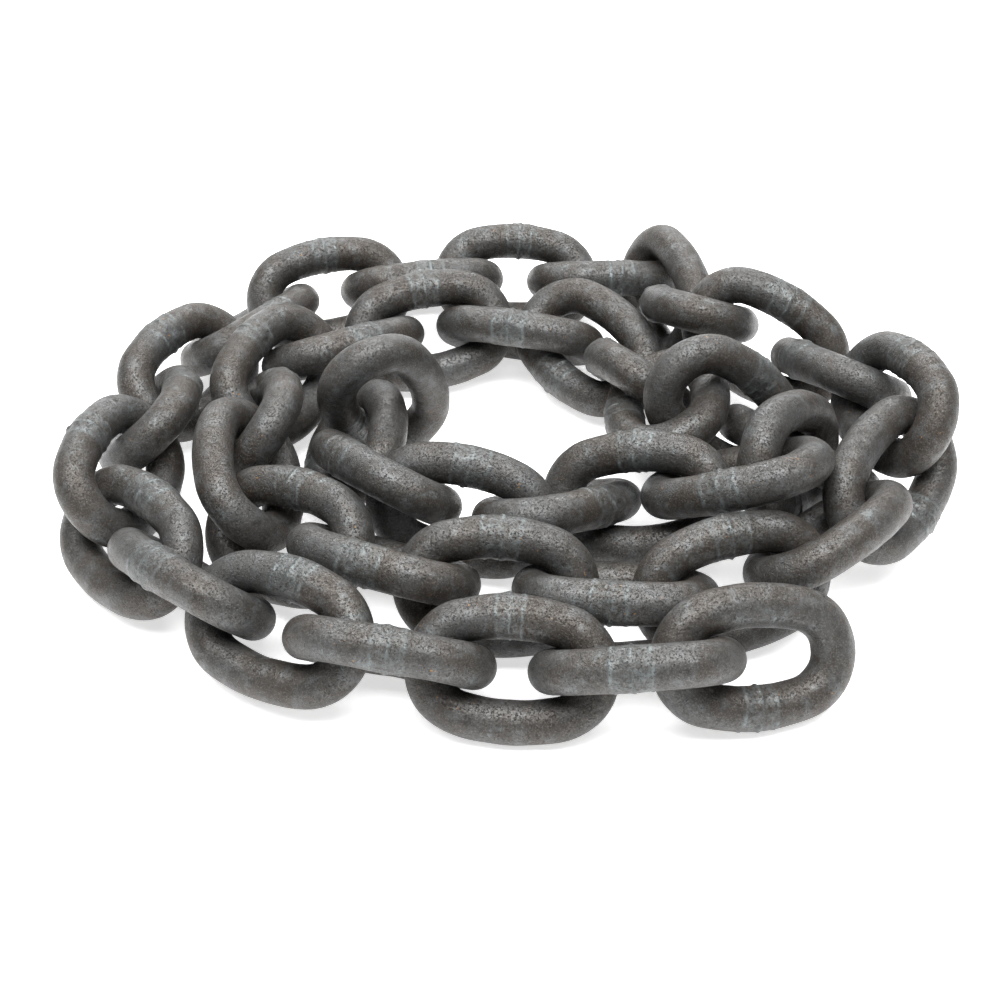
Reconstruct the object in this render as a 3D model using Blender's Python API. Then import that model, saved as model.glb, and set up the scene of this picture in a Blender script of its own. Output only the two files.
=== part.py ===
"""Coiled length of heavy short-link anchor chain, built for Blender 4.5.

Forty-six equal welded links lie on a flat floor in a loose coil.  Each link is its own solid and
its own node.  Lengths are metres, +Z is up, the floor is z = 0, and a camera would stand at -Y.
"""
import math

import bpy
import numpy as np
from mathutils import Matrix

MM = 0.001

# The link, after the short-link pattern of yacht anchor chain (13 mm bar, 36 mm pitch)
BAR = 13.0 * MM             # diameter of the round bar
PITCH = 36.0 * MM           # clear length of the eye
EYE_WIDTH = 17.0 * MM       # clear width of the eye
CROWN_RADIUS = 13.6 * MM    # centre line of the round ends; the legs bow outwards to meet them
WELD_RISE = 0.5 * MM        # how far the butt weld stands above the bar
WELD_HALF = 3.0 * MM        # half the length of the welded swelling
CLEARANCE = 0.5 * MM        # least gap left between any two links

BAR_RADIUS = BAR / 2
HALF_LENGTH = (PITCH + BAR) / 2             # of the centre line
HALF_WIDTH = (EYE_WIDTH + BAR) / 2          # of the centre line

# The centre line is four arcs: two crowns, and two gently bowed legs tangent to them
LEG_RADIUS = ((HALF_LENGTH ** 2 + HALF_WIDTH ** 2 - 2 * HALF_LENGTH * CROWN_RADIUS)
              / (2 * (HALF_WIDTH - CROWN_RADIUS)))
SHOULDER = math.atan2(LEG_RADIUS - HALF_WIDTH, HALF_LENGTH - CROWN_RADIUS)

BAR_SIDES = 8               # facets round the bar
CROWN_STEPS = 8             # facets along each crown
LEG_STATION = 5.0 * MM      # where a plain leg has its cross-sections, either side of its middle

# The lay of the coil, one row per link, clockwise from the free end at the front right.
# Columns: middle x, y, z in millimetres; heading, rise and roll in degrees.
# Heading turns the long axis about Z from +X, rise tips it up, and roll 0 lies flat with the
# welded leg on the left, so that roll 90 stands on edge with the weld on top.
LAY = (
    (73, -97, 21, -167, 9, -62),
    (39, -102, 21, 174, -10, 42),
    (3, -100, 18, 176, 1, 127),
    (-31, -96, 21, 175, 10, 47),
    (-64, -85, 20, 151, -4, 135),
    (-92, -65, 20, 137, -9, 49),
    (-114, -43, 18, 133, -6, 133),
    (-121, -14, 23, 80, -6, 50),
    (-117, 19, 20, 98, -24, 141),
    (-109, 51, 17, 62, 1, 43),
    (-91, 81, 15, 59, -6, 145),
    (-63, 100, 18, 18, 1, 50),
    (-29, 109, 17, 12, -2, 140),
    (6, 112, 17, -1, -3, 46),
    (42, 114, 16, 8, -4, 146),
    (61, 95, 20, -76, -8, -110),
    (71, 71, 27, -94, 32, 172),
    (92, 54, 28, -23, -22, 66),
    (115, 38, 24, -76, 19, 149),
    (126, 6, 32, -72, 9, 66),
    (122, -24, 25, -129, 6, -52),
    (98, -50, 29, -137, 3, -132),
    (68, -64, 22, -169, -6, 117),
    (33, -67, 21, 179, -4, 32),
    (-3, -67, 20, 177, 2, 115),
    (-37, -60, 23, 153, -4, 42),
    (-65, -42, 20, 146, -11, 133),
    (-80, -18, 25, 94, 3, -132),
    (-80, 12, 22, 104, -31, 130),
    (-76, 40, 22, 65, 4, 47),
    (-55, 63, 19, 36, -8, 143),
    (-25, 74, 19, 12, 4, 46),
    (8, 75, 16, -13, -2, 139),
    (33, 62, 17, -54, -6, -157),
    (49, 37, 21, -89, 34, 149),
    (55, 12, 30, -98, 0, -141),
    (75, 9, 33, 14, -27, 87),
    (99, 4, 17, -50, -9, 137),
    (93, -16, 29, -128, 30, -75),
    (74, -33, 34, -179, -34, 38),
    (46, -34, 19, 160, -7, 125),
    (20, -31, 18, -145, 26, 26),
    (-9, -32, 22, 170, 7, 102),
    (-36, -20, 25, 127, -15, 41),
    (-47, 8, 17, 94, -9, -37),
    (-38, 16, 29, -117, 62, -128),
)

SETTLE_ROUNDS = 1500        # most rounds of easing touching links apart
SETTLE_SHARE = 0.6          # part of each overlap removed in one round
SETTLE_POINTS = 72          # points on a centre line while measuring gaps
SWING_RADIUS = 18.0 * MM    # radius of gyration that shares a push between shift and turn

FIXED_LINK = 23             # the link that every other one hangs from, half way along the chain


def clear_scene():
    for item in list(bpy.data.objects):
        bpy.data.objects.remove(item, do_unlink=True)


def galvanised_steel():
    """Hot-dip galvanised bar, weathered to a dull brownish grey."""
    material = bpy.data.materials.new("Weathered_Galvanised_Steel")
    material.use_nodes = True
    shader = material.node_tree.nodes["Principled BSDF"]
    shader.inputs["Base Color"].default_value = (0.165, 0.155, 0.145, 1.0)
    shader.inputs["Metallic"].default_value = 0.75
    shader.inputs["Roughness"].default_value = 0.55
    material.diffuse_color = (0.165, 0.155, 0.145, 1.0)
    return material


def outline_place(angle):
    """Place on the centre line whose outward side points at this angle.

    The long axis is X, and the welded leg is the one on the +Y side.
    """
    if abs(math.sin(angle)) > math.sin(SHOULDER):
        side = math.copysign(1.0, math.sin(angle))
        return (LEG_RADIUS * math.cos(angle),
                side * (HALF_WIDTH - LEG_RADIUS) + LEG_RADIUS * math.sin(angle))
    end = math.copysign(1.0, math.cos(angle))
    return (end * (HALF_LENGTH - CROWN_RADIUS) + CROWN_RADIUS * math.cos(angle),
            CROWN_RADIUS * math.sin(angle))


def stations():
    """Cross-sections round the link, as (outward angle, bar radius)."""
    crown = [SHOULDER * (2 * step / CROWN_STEPS - 1) for step in range(CROWN_STEPS + 1)]
    to_weld = math.asin(WELD_HALF / LEG_RADIUS)
    to_station = math.asin(LEG_STATION / LEG_RADIUS)
    sections = [(angle, BAR_RADIUS) for angle in crown]
    sections.append((math.pi / 2 - to_weld, BAR_RADIUS))
    sections.append((math.pi / 2, BAR_RADIUS + WELD_RISE))
    sections.append((math.pi / 2 + to_weld, BAR_RADIUS))
    sections += [(angle + math.pi, BAR_RADIUS) for angle in crown]
    sections += [(turn + 3 * math.pi / 2, BAR_RADIUS) for turn in (-to_station, 0.0, to_station)]
    return sections


def link_mesh(name):
    """One closed ring of round bar, as quads running round the bar and along the centre line."""
    vertices = []
    sections = stations()
    for angle, radius in sections:
        x, y = outline_place(angle)
        for side in range(BAR_SIDES):
            turn = 2 * math.pi * side / BAR_SIDES
            outward = radius * math.cos(turn)
            vertices.append((x + outward * math.cos(angle), y + outward * math.sin(angle),
                             radius * math.sin(turn)))
    faces = []
    for station in range(len(sections)):
        following = (station + 1) % len(sections)
        for side in range(BAR_SIDES):
            beside = (side + 1) % BAR_SIDES
            faces.append((station * BAR_SIDES + side, following * BAR_SIDES + side,
                          following * BAR_SIDES + beside, station * BAR_SIDES + beside))
    mesh = bpy.data.meshes.new(name)
    mesh.from_pydata(vertices, [], faces)
    mesh.update()
    for polygon in mesh.polygons:
        polygon.use_smooth = True
    return mesh


def turn_about(axis_angle):
    """Rotation matrix of a small turn given as axis times angle."""
    angle = float(np.linalg.norm(axis_angle))
    if angle == 0.0:
        return np.eye(3)
    return np.array(Matrix.Rotation(angle, 3, axis_angle / angle))


def link_axes(heading, rise, roll):
    """Columns: long axis, welded-leg side and normal of one link of the lay."""
    heading, rise, roll = math.radians(heading), math.radians(rise), math.radians(roll)
    along = np.array((math.cos(heading) * math.cos(rise), math.sin(heading) * math.cos(rise),
                      math.sin(rise)))
    level = np.array((-math.sin(heading), math.cos(heading), 0.0))
    upward = np.cross(along, level)
    leg = math.cos(roll) * level + math.sin(roll) * upward
    return np.stack((along, leg, np.cross(along, leg)), axis=1)


def angle_at(way):
    """Outward angle at a distance along the centre line from the +X end."""
    crown = CROWN_RADIUS * SHOULDER
    half_lap = 2 * crown + LEG_RADIUS * (math.pi - 2 * SHOULDER)
    laps, rest = divmod(way, half_lap)
    if rest < crown:
        angle = rest / CROWN_RADIUS
    elif rest < half_lap - crown:
        angle = SHOULDER + (rest - crown) / LEG_RADIUS
    else:
        angle = math.pi - (half_lap - rest) / CROWN_RADIUS
    return laps * math.pi + angle


def centre_line_points():
    """Evenly spaced points on the link's centre line, in its own axes, and the bar's radius there."""
    lap = 4 * CROWN_RADIUS * SHOULDER + 2 * LEG_RADIUS * (math.pi - 2 * SHOULDER)
    points = np.array([(*outline_place(angle_at(lap * step / SETTLE_POINTS)), 0.0)
                       for step in range(SETTLE_POINTS)])
    radii = np.full(len(points), BAR_RADIUS)
    radii[(points[:, 1] > 0) & (abs(points[:, 0]) < WELD_HALF)] += WELD_RISE
    return points, radii


def push(middles, turns, link, arm, shove):
    """Shift and turn one link by its share of a shove that acts at arm from its middle."""
    middles[link] = middles[link] + shove
    turns[link] = turn_about(np.cross(arm, shove) / SWING_RADIUS ** 2) @ turns[link]


def settle(middles, turns):
    """Ease touching links apart until every pair, and the floor, has its clearance."""
    outline, radii = centre_line_points()
    reach = 2 * HALF_LENGTH + BAR + CLEARANCE
    wanted = radii[:, None] + radii[None] + CLEARANCE
    for _ in range(SETTLE_ROUNDS):
        worst = 0.0
        rings = [middles[k] + outline @ turns[k].T for k in range(len(middles))]
        for first in range(len(middles)):
            for second in range(first + 1, len(middles)):
                if np.linalg.norm(middles[first] - middles[second]) > reach:
                    continue
                spans = np.linalg.norm(rings[first][:, None] - rings[second][None], axis=2)
                lack = wanted - spans
                a, b = np.unravel_index(int(lack.argmax()), lack.shape)
                lacking = float(lack[a, b])
                if lacking <= 0.0:
                    continue
                worst = max(worst, lacking)
                away = (rings[first][a] - rings[second][b]) / spans[a, b]
                arms = rings[first][a] - middles[first], rings[second][b] - middles[second]
                ease = sum(1 + float(np.sum(np.cross(arm, away) ** 2)) / SWING_RADIUS ** 2
                           for arm in arms)
                shove = SETTLE_SHARE * lacking * away / ease
                push(middles, turns, first, arms[0], shove)
                push(middles, turns, second, arms[1], -shove)
        for link, ring in enumerate(rings):
            lowest = int(ring[:, 2].argmin())
            lacking = BAR_RADIUS - ring[lowest, 2]
            if lacking > 0.0:
                worst = max(worst, lacking)
                push(middles, turns, link, ring[lowest] - middles[link],
                     np.array((0.0, 0.0, SETTLE_SHARE * lacking)))
        if worst < 0.1 * CLEARANCE:
            break


def centre_on_origin(middles, turns):
    """Bring the middle of the whole coil's plan over the origin."""
    outline, _ = centre_line_points()
    points = np.concatenate([middle + outline @ turn.T for middle, turn in zip(middles, turns)])
    offset = (points.min(axis=0) + points.max(axis=0)) / 2
    middles[:, :2] -= offset[:2]


def hinge_point(middles, turns, number):
    """Where a link turns: on its inner neighbour's centre line, closest to the link.

    The inner neighbour is the one nearer to the fixed link.  The fixed link itself has its middle.
    """
    if number == FIXED_LINK:
        return middles[number - 1]
    inner = number + 1 if number < FIXED_LINK else number - 1
    outline, _ = centre_line_points()
    own = middles[number - 1] + outline @ turns[number - 1].T
    neighbour = middles[inner - 1] + outline @ turns[inner - 1].T
    spans = np.linalg.norm(neighbour[:, None] - own[None], axis=2)
    return neighbour[int(spans.min(axis=1).argmin())]


def place_link(number, middles, turns, steel):
    """One link as its own object, with its origin on the axis it turns about."""
    middle, turn = middles[number - 1], turns[number - 1]
    origin = hinge_point(middles, turns, number)
    name = f"Link_{number:02d}"
    mesh = link_mesh(name)
    mesh.transform(Matrix.Translation((turn.T @ (middle - origin)).tolist()))
    mesh.materials.append(steel)
    link = bpy.data.objects.new(name, mesh)
    link.location = origin.tolist()
    link.rotation_euler = Matrix(turn.tolist()).to_euler()
    bpy.context.collection.objects.link(link)


def build():
    clear_scene()
    middles = np.array([row[:3] for row in LAY]) * MM
    turns = np.array([link_axes(*row[3:]) for row in LAY])
    settle(middles, turns)
    centre_on_origin(middles, turns)
    steel = galvanised_steel()
    for number in range(1, len(LAY) + 1):
        place_link(number, middles, turns, steel)


build()
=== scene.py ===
"""Looks for the coiled anchor chain: every link of the frame is replaced by a finely modelled one.

The links are weathered hot-dip galvanised steel with an electric butt weld in one leg each.  They
stand on a plain white floor in soft studio light, seen from the photograph's viewing angle.
"""
import math

import bpy
import numpy as np
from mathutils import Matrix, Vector


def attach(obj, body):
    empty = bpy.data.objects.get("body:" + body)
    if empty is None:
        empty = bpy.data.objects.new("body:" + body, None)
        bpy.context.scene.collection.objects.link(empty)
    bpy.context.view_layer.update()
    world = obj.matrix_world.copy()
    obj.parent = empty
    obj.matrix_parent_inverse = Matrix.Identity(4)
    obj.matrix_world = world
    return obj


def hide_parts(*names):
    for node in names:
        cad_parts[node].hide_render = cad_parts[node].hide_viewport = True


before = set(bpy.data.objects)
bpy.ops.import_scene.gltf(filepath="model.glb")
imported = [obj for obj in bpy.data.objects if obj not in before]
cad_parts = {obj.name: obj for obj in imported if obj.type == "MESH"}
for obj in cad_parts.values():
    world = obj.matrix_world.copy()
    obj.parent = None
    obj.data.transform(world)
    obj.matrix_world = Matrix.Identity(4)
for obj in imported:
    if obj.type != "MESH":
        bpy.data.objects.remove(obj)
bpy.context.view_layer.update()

MM = 0.001

# Camera, fitted to the photograph
CAMERA_TARGET = Vector((-0.0036, -0.0061, 0.0))     # floor point in the middle of the picture
CAMERA_ELEVATION = math.radians(38.4)
CAMERA_DISTANCE = 0.591
CAMERA_LENS = 63.64                         # millimetres
SENSOR_WIDTH = 36.0                         # millimetres
NEAREST_SEEN = 0.01

# Light: strength of the surroundings, and the soft boxes as place, width, depth and power
HORIZON_LIGHT = 0.08
ZENITH_LIGHT = 0.36
SKY_BAND = (-0.1, 0.9)      # height of the sky, as a sine, over which its light rises
FLOOR_GLOW = 0.62           # stands for the lit table under the white floor
FLOOR_HALF = 12.0
FLOOR_DROP = 0.1 * MM       # keeps the floor off the lowest links
FLOOR_WHITE = (0.92, 0.92, 0.92, 1.0)
SOFT_LIGHTS = (
    ("Overhead", (0.0, -0.20, 1.2), 1.5, 0.9, 48.0),
    ("Back", (0.0, 1.3, 0.9), 1.8, 0.6, 34.0),
)

# The plain link that each finished one replaces
CROWN_RADIUS = 13.6 * MM    # centre line of the round ends
CAD_WELD_RISE = 0.5 * MM    # how far its weld stands out on one side

# Fineness of a link's surface
SIDES = 44                  # round the bar
COARSE_STEP = 1.0 * MM      # along the bar
FINE_STEP = 0.4 * MM        # along the bar at the weld
FINE_REACH = 8.0 * MM       # how far the fine steps go from the middle of the weld

# Unevenness of the bar
SHRINK = 0.06 * MM          # off the radius, so that waves and lumps stay clear of the next link
FIRST_SEED = 7000           # a link's seed is this plus its number
WAVE_HEIGHT = 0.035 * MM
WAVES_PER_LINK = 14
DENTS_PER_LINK = 18
DENT_RADIUS = (1.0 * MM, 3.2 * MM)
DENT_DEPTH = (0.04 * MM, 0.20 * MM)
CROWN_FLATTENING = 0.012    # share of the bar's radius lost inside the bends

# Colours of the steel
WARM_BAR = (0.031, 0.024, 0.018)
COOL_BAR = (0.043, 0.043, 0.042)
PALE_BLOTCH = (0.074, 0.078, 0.080)
GRIME = (0.012, 0.010, 0.008)
# pale bluish zinc bloom; also painted on the weld's seam ridges as a highlight
ZINC_BLOOM_AND_SEAM_HIGHLIGHT = (0.122, 0.143, 0.146)
PALE_GRAIN = (0.145, 0.142, 0.134)
DARK_PIT = (0.008, 0.006, 0.005)
RUST = (0.220, 0.105, 0.022)
HALF_METAL = 0.50
ZINC_IOR = 1.6

# The weld
WELD_SWELLING = 0.22 * MM
WELD_BAND = 4.6 * MM        # half the length of the die-gripped band
WELD_RIDGE = 0.50 * MM
WELD_LUMPS = 26


def measure(node):
    """Middle, axes, length, width and bar of one plain link.  Axes: along, welded side, normal."""
    points = np.array([vertex.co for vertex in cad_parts[node].data.vertices])
    spread = points - points.mean(axis=0)
    axes = np.linalg.eigh(spread.T @ spread)[1].T[::-1].copy()
    across = spread @ axes[1]
    # the weld stands out on its own side
    if across.max() < -across.min():
        axes[1] = -axes[1]
    axes[2] = np.cross(axes[0], axes[1])
    local = points @ axes.T
    low, high = local.min(axis=0), local.max(axis=0)
    length, width = high[0] - low[0], high[1] - low[1] - CAD_WELD_RISE
    middle = np.array(((low[0] + high[0]) / 2, low[1] + width / 2, (low[2] + high[2]) / 2))
    plain_half = local[local[:, 1] < middle[1], 2]
    return middle, axes, length, width, plain_half.max() - plain_half.min()


def centre_line(length, width, bar):
    """Stations round the centre line: distance from the weld, x, y, outward angle, and one lap.

    The line is four arcs, two crowns and two bowed legs.  The welded leg is on the +Y side.
    """
    half_length, half_width = (length - bar) / 2, (width - bar) / 2
    leg = ((half_length ** 2 + half_width ** 2 - 2 * half_length * CROWN_RADIUS)
           / (2 * (half_width - CROWN_RADIUS)))
    shoulder = math.atan2(leg - half_width, half_length - CROWN_RADIUS)
    half_leg, crown = leg * (math.pi / 2 - shoulder), 2 * CROWN_RADIUS * shoulder
    half_lap = 2 * half_leg + crown
    lap = 2 * half_lap
    marks = []
    way = 0.0
    while way < lap - FINE_STEP / 2:
        marks.append(way)
        way += FINE_STEP if min(way, lap - way) < FINE_REACH else COARSE_STEP
    marks = np.array(marks) * lap / way
    rest = marks % half_lap
    angle = np.where(rest < half_leg, math.pi / 2 + rest / leg,
                     np.where(rest < half_leg + crown,
                              math.pi - shoulder + (rest - half_leg) / CROWN_RADIUS,
                              3 * math.pi / 2 - (half_lap - rest) / leg))
    angle = angle + math.pi * (marks // half_lap)
    on_leg = np.abs(np.sin(angle)) > math.sin(shoulder)
    x = np.where(on_leg, leg * np.cos(angle),
                 np.sign(np.cos(angle)) * (half_length - CROWN_RADIUS) + CROWN_RADIUS * np.cos(angle))
    y = np.where(on_leg, np.sign(np.sin(angle)) * (half_width - leg) + leg * np.sin(angle),
                 CROWN_RADIUS * np.sin(angle))
    return np.where(marks > lap / 2, marks - lap, marks), x, y, angle, lap


def waves(rng, along, turn, around):
    """Long shallow unevenness that closes on itself round the link and round the bar."""
    height = np.zeros(np.broadcast(along, turn).shape)
    for _ in range(WAVES_PER_LINK):
        cycles, lobes = rng.integers(1, 14), rng.integers(0, 4)
        phase = rng.uniform(0, 2 * math.pi)
        height += rng.normal() * np.cos(2 * math.pi * cycles * along / around + lobes * turn + phase)
    return WAVE_HEIGHT * height / 2


def spot(along, turn, radius, place, side, size, around):
    """Bell-shaped spot on the bar's surface, 1 at its middle."""
    way = (along - place + around / 2) % around - around / 2
    across = (turn - side + math.pi) % (2 * math.pi) - math.pi
    return np.exp(-(way ** 2 + (radius * across) ** 2) / size ** 2)


def dents(rng, along, turn, radius, around):
    height = np.zeros(np.broadcast(along, turn).shape)
    for _ in range(DENTS_PER_LINK):
        size = rng.uniform(*DENT_RADIUS)
        depth = rng.uniform(*DENT_DEPTH)
        place, side = rng.uniform(0, around), rng.uniform(0, 2 * math.pi)
        height -= depth * spot(along, turn, radius, place, side, size, around)
    return height


def weld(rng, along, turn, radius, around):
    """Height of the weld above the bar, how much each point belongs to it, and where its seam ridges
    run, which carry a painted highlight in the colour.
    """
    slant = rng.uniform(-0.5, 0.5) * MM
    shift = rng.uniform(-1.5, 1.5) * MM
    offset = along - shift - slant * np.cos(turn - rng.uniform(0, 2 * math.pi))
    reach = WELD_BAND * rng.uniform(0.8, 1.25)
    ragged = sum(rng.normal() * np.cos(lobes * turn + rng.uniform(0, 2 * math.pi))
                 for lobes in range(1, 9)) / 3
    inside = 1 / (1 + np.exp((np.abs(offset) - reach - 0.5 * MM * ragged) / (0.25 * MM)))
    height = WELD_SWELLING * np.exp(-(offset / (1.3 * reach)) ** 2)
    seam_highlights = np.zeros_like(height)
    # seam ridges; their mask also places a painted highlight on the ridge crests
    for place, share in ((-reach, 0.5), (0.0, 1.0), (reach, 0.45)):
        broken = np.clip(0.45 + 0.55 * sum(
            rng.normal() * np.cos(lobes * turn + rng.uniform(0, 2 * math.pi))
            for lobes in range(1, 8)) / 1.8, 0, 1)
        ridge = np.exp(-((offset - place - 0.25 * MM * ragged) / (0.55 * MM)) ** 2)
        height = height + share * WELD_RIDGE * broken * ridge
        seam_highlights = np.maximum(seam_highlights, ridge * (0.35 + 0.65 * broken))
    for _ in range(WELD_LUMPS):
        place = rng.normal(shift, 0.45 * reach)
        side, size = rng.uniform(0, 2 * math.pi), rng.uniform(0.5, 1.3) * MM
        rise = rng.normal(0.06, 0.20) * MM
        height = height + rise * spot(along, turn, radius, place, side, size, around)
    return height, inside * np.ones_like(height), seam_highlights


def link_surface(number, middle, axes, length, width, bar):
    """Vertices in world metres, quads, and the shading masks of one finished link."""
    rng = np.random.default_rng(FIRST_SEED + number)
    radius = bar / 2 - SHRINK
    along, x, y, angle, around = centre_line(length, width, bar)
    along, x, y, angle = (column[:, None] for column in (along, x, y, angle))
    turn = (2 * math.pi * np.arange(SIDES) / SIDES)[None]
    swell, mask, seam_highlights = weld(rng, along, turn, radius, around)
    height = swell + waves(rng, along, turn, around) + dents(rng, along, turn, radius, around)
    bend = 1 / (1 + np.exp(-(np.abs(x) - (length - width) / 2) / (1.0 * MM)))
    height -= CROWN_FLATTENING * radius * bend * (0.5 - 0.5 * np.cos(turn))
    outward = (radius + height) * np.cos(turn)
    local = np.stack((x + outward * np.cos(angle), y + outward * np.sin(angle),
                      (radius + height) * np.sin(turn)), axis=2).reshape(-1, 3)
    places = (local + middle) @ axes
    rows = np.arange(len(along))[:, None] * SIDES
    following = np.roll(rows, -1, axis=0)
    side = np.arange(SIDES)[None]
    beside = (side + 1) % SIDES
    quads = np.stack((rows + side, following + side, following + beside, rows + beside), axis=2)
    return places, quads.reshape(-1, 4), {"weld": mask.reshape(-1), "seam_highlight": seam_highlights.reshape(-1)}


def build_link(number, material):
    node = f"Link_{number:02d}"
    places, quads, masks = link_surface(number, *measure(node))
    mesh = bpy.data.meshes.new(f"Steel_Link_{number:02d}")
    mesh.from_pydata(places.tolist(), [], quads.tolist())
    for name, mask in masks.items():
        attribute = mesh.attributes.new(name, "FLOAT", "POINT")
        attribute.data.foreach_set("value", mask.astype(np.float32))
    mesh.polygons.foreach_set("use_smooth", [True] * len(mesh.polygons))
    mesh.materials.append(material)
    mesh.update()
    link = bpy.data.objects.new(mesh.name, mesh)
    bpy.context.scene.collection.objects.link(link)
    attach(link, f"link_{number:02d}")
    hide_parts(node)


class Nodes:
    """Short ways to add and join shader nodes."""

    def __init__(self, material):
        material.use_nodes = True
        self.tree = material.node_tree
        self.shader = self.tree.nodes["Principled BSDF"]
        self.place = self.add("ShaderNodeTexCoord").outputs["Object"]

    def add(self, kind, **settings):
        node = self.tree.nodes.new(kind)
        for key, value in settings.items():
            setattr(node, key, value)
        return node

    def join(self, source, target):
        self.tree.links.new(source, target)

    def noise(self, size, detail=4.0, roughness=0.55, shift=0.0):
        """Noise whose features are about size metres across, 0 to 1."""
        mapping = self.add("ShaderNodeMapping")
        mapping.inputs["Location"].default_value = (shift, 2 * shift, -shift)
        self.join(self.place, mapping.inputs["Vector"])
        node = self.add("ShaderNodeTexNoise")
        node.inputs["Scale"].default_value = 1 / size
        node.inputs["Detail"].default_value = detail
        node.inputs["Roughness"].default_value = roughness
        self.join(mapping.outputs["Vector"], node.inputs["Vector"])
        return node.outputs["Fac"]

    def ramp(self, value, low, high, start=0.0, end=1.0):
        """value from low to high becomes start to end, clamped and smooth."""
        node = self.add("ShaderNodeMapRange", interpolation_type="SMOOTHSTEP")
        for key, number in (("From Min", low), ("From Max", high), ("To Min", start), ("To Max", end)):
            node.inputs[key].default_value = number
        self.join(value, node.inputs["Value"])
        return node.outputs["Result"]

    def math(self, operation, first, second):
        node = self.add("ShaderNodeMath", operation=operation)
        for socket, value in zip(node.inputs, (first, second)):
            if isinstance(value, float):
                socket.default_value = value
            else:
                self.join(value, socket)
        return node.outputs[0]

    def bump(self, height, strength, distance, normal=None):
        node = self.add("ShaderNodeBump")
        node.inputs["Strength"].default_value = strength
        node.inputs["Distance"].default_value = distance
        self.join(height, node.inputs["Height"])
        if normal is not None:
            self.join(normal, node.inputs["Normal"])
        return node.outputs["Normal"]

    def mix(self, share, first, second):
        """Colour mix; each colour is a tuple or a socket, and share is a socket."""
        node = self.add("ShaderNodeMix", data_type="RGBA")
        self.join(share, node.inputs["Factor"])
        sockets = [s for s in node.inputs if s.type == "RGBA"]
        for socket, value in zip(sockets, (first, second)):
            if isinstance(value, tuple):
                socket.default_value = (*value, 1.0)
            else:
                self.join(value, socket)
        return [s for s in node.outputs if s.type == "RGBA"][0]


def weathered_zinc():
    material = bpy.data.materials.new("Weathered_Zinc")
    n = Nodes(material)
    weld_mask = n.add("ShaderNodeAttribute", attribute_name="weld").outputs["Fac"]
    seam_highlight_mask = n.add("ShaderNodeAttribute", attribute_name="seam_highlight").outputs["Fac"]

    # broad tone: warm dark grey bar, cooler and paler in places
    broad = n.noise(24 * MM, detail=3.0)
    colour = n.mix(n.ramp(broad, 0.36, 0.66), WARM_BAR, COOL_BAR)
    blotches = n.noise(5 * MM, detail=6.0, roughness=0.62, shift=3.1)
    colour = n.mix(n.ramp(blotches, 0.46, 0.66, 0.0, 0.60), colour, PALE_BLOTCH)
    grime = n.noise(3.0 * MM, detail=6.0, roughness=0.66, shift=5.7)
    colour = n.mix(n.ramp(grime, 0.50, 0.68, 0.0, 0.70), colour, GRIME)

    # bluish zinc bloom at the weld and in scattered patches; on the weld's seam ridges the same pale
    # bluish colour is partly bloom and partly a painted highlight
    patches = n.noise(8 * MM, detail=5.0, roughness=0.6, shift=8.3)
    streaks = n.noise(1.6 * MM, detail=5.0, roughness=0.7, shift=1.9)
    broken = n.ramp(streaks, 0.42, 0.62, 0.0, 1.0)
    at_weld = n.math("MULTIPLY", n.math("MULTIPLY", weld_mask, broken), 0.40)
    # painted highlight on the seam ridges, in the pale bluish bloom colour
    painted_seam_highlight = n.math("MULTIPLY", seam_highlight_mask, n.ramp(streaks, 0.38, 0.56, 0.25, 1.0))
    scattered = n.math("MULTIPLY", n.ramp(patches, 0.55, 0.72, 0.0, 0.75), broken)
    bluish = n.math("MAXIMUM", n.math("MAXIMUM", at_weld, painted_seam_highlight), scattered)
    colour = n.mix(bluish, colour, ZINC_BLOOM_AND_SEAM_HIGHLIGHT)

    # fine grain: pale crystals and dark pits
    grain = n.noise(0.50 * MM, detail=4.0, roughness=0.62, shift=2.3)
    colour = n.mix(n.ramp(grain, 0.50, 0.64, 0.0, 0.38), colour, PALE_GRAIN)
    pits = n.noise(0.70 * MM, detail=4.0, roughness=0.62, shift=6.1)
    colour = n.mix(n.ramp(pits, 0.54, 0.66, 0.0, 0.75), colour, DARK_PIT)

    # a few rust flecks
    fleck = n.noise(1.3 * MM, detail=2.0, shift=11.9)
    region = n.noise(18 * MM, detail=1.0, shift=14.2)
    rust = n.math("MULTIPLY", n.ramp(fleck, 0.70, 0.76), n.ramp(region, 0.56, 0.62))
    colour = n.mix(rust, colour, RUST)
    n.join(colour, n.shader.inputs["Base Color"])

    n.join(n.ramp(blotches, 0.3, 0.7, 0.54, 0.43), n.shader.inputs["Roughness"])
    n.shader.inputs["Metallic"].default_value = HALF_METAL
    n.shader.inputs["IOR"].default_value = ZINC_IOR

    fine = n.math("SUBTRACT", n.math("MULTIPLY", grain, 0.8), n.ramp(pits, 0.52, 0.66))
    coarse = n.noise(2.4 * MM, detail=6.0, roughness=0.6, shift=9.4)
    n.join(n.bump(fine, 0.9, 0.13 * MM, n.bump(coarse, 0.5, 0.55 * MM)),
           n.shader.inputs["Normal"])
    return material


def white_floor():
    material = bpy.data.materials.new("Floor_White")
    material.use_nodes = True
    shader = material.node_tree.nodes["Principled BSDF"]
    shader.inputs["Base Color"].default_value = FLOOR_WHITE
    shader.inputs["Roughness"].default_value = 0.6
    shader.inputs["Emission Color"].default_value = (1.0, 1.0, 1.0, 1.0)
    shader.inputs["Emission Strength"].default_value = FLOOR_GLOW
    half = FLOOR_HALF
    mesh = bpy.data.meshes.new("Studio_Floor")
    mesh.from_pydata([(-half, -half, 0), (half, -half, 0), (half, half, 0), (-half, half, 0)],
                     [], [(0, 1, 2, 3)])
    mesh.materials.append(material)
    floor = bpy.data.objects.new("Studio_Floor", mesh)
    floor.location.z = -FLOOR_DROP
    bpy.context.scene.collection.objects.link(floor)


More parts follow.
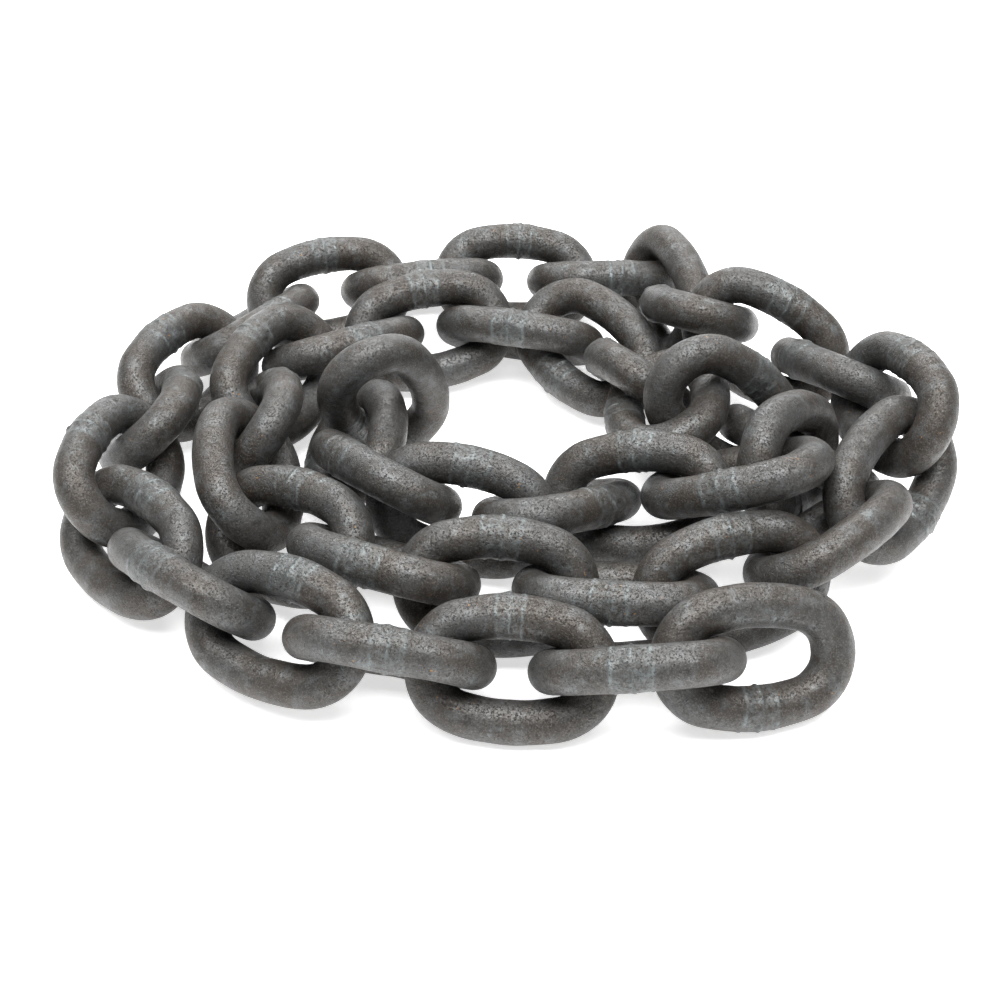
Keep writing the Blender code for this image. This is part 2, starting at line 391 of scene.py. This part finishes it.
def soft_light(name, place, width, depth, power):
    """Area light at place, facing the middle of the coil."""
    light = bpy.data.lights.new(name, "AREA")
    light.shape = "RECTANGLE"
    light.size, light.size_y = width, depth
    light.energy = power
    lamp = bpy.data.objects.new(name, light)
    lamp.location = place
    lamp.rotation_euler = (-Vector(place)).to_track_quat("-Z", "Y").to_euler()
    bpy.context.scene.collection.objects.link(lamp)


def studio_world():
    """Pale above, darker towards the horizon, so that the bars show their roundness."""
    world = bpy.data.worlds.new("Studio")
    world.use_nodes = True
    tree = world.node_tree
    background = tree.nodes["Background"]
    background.inputs["Color"].default_value = (1.0, 1.0, 1.0, 1.0)
    place = tree.nodes.new("ShaderNodeTexCoord")
    split = tree.nodes.new("ShaderNodeSeparateXYZ")
    rise = tree.nodes.new("ShaderNodeMapRange")
    for key, value in (("From Min", SKY_BAND[0]), ("From Max", SKY_BAND[1]),
                       ("To Min", HORIZON_LIGHT), ("To Max", ZENITH_LIGHT)):
        rise.inputs[key].default_value = value
    tree.links.new(place.outputs["Generated"], split.inputs["Vector"])
    tree.links.new(split.outputs["Z"], rise.inputs["Value"])
    tree.links.new(rise.outputs["Result"], background.inputs["Strength"])
    bpy.context.scene.world = world


def studio():
    white_floor()
    studio_world()
    for name, place, width, depth, power in SOFT_LIGHTS:
        soft_light(name, place, width, depth, power)
    bpy.context.scene.view_settings.view_transform = "Standard"


def camera():
    lens = bpy.data.cameras.new("Camera")
    lens.lens = CAMERA_LENS
    lens.sensor_width = SENSOR_WIDTH
    lens.clip_start = NEAREST_SEEN
    eye = bpy.data.objects.new("Camera", lens)
    back = Vector((0.0, -math.cos(CAMERA_ELEVATION), math.sin(CAMERA_ELEVATION)))
    eye.location = CAMERA_TARGET + CAMERA_DISTANCE * back
    eye.rotation_euler = (-back).to_track_quat("-Z", "Y").to_euler()
    bpy.context.scene.collection.objects.link(eye)
    bpy.context.scene.camera = eye


steel = weathered_zinc()
for link_number in range(1, len(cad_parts) + 1):
    build_link(link_number, steel)
studio()
camera()
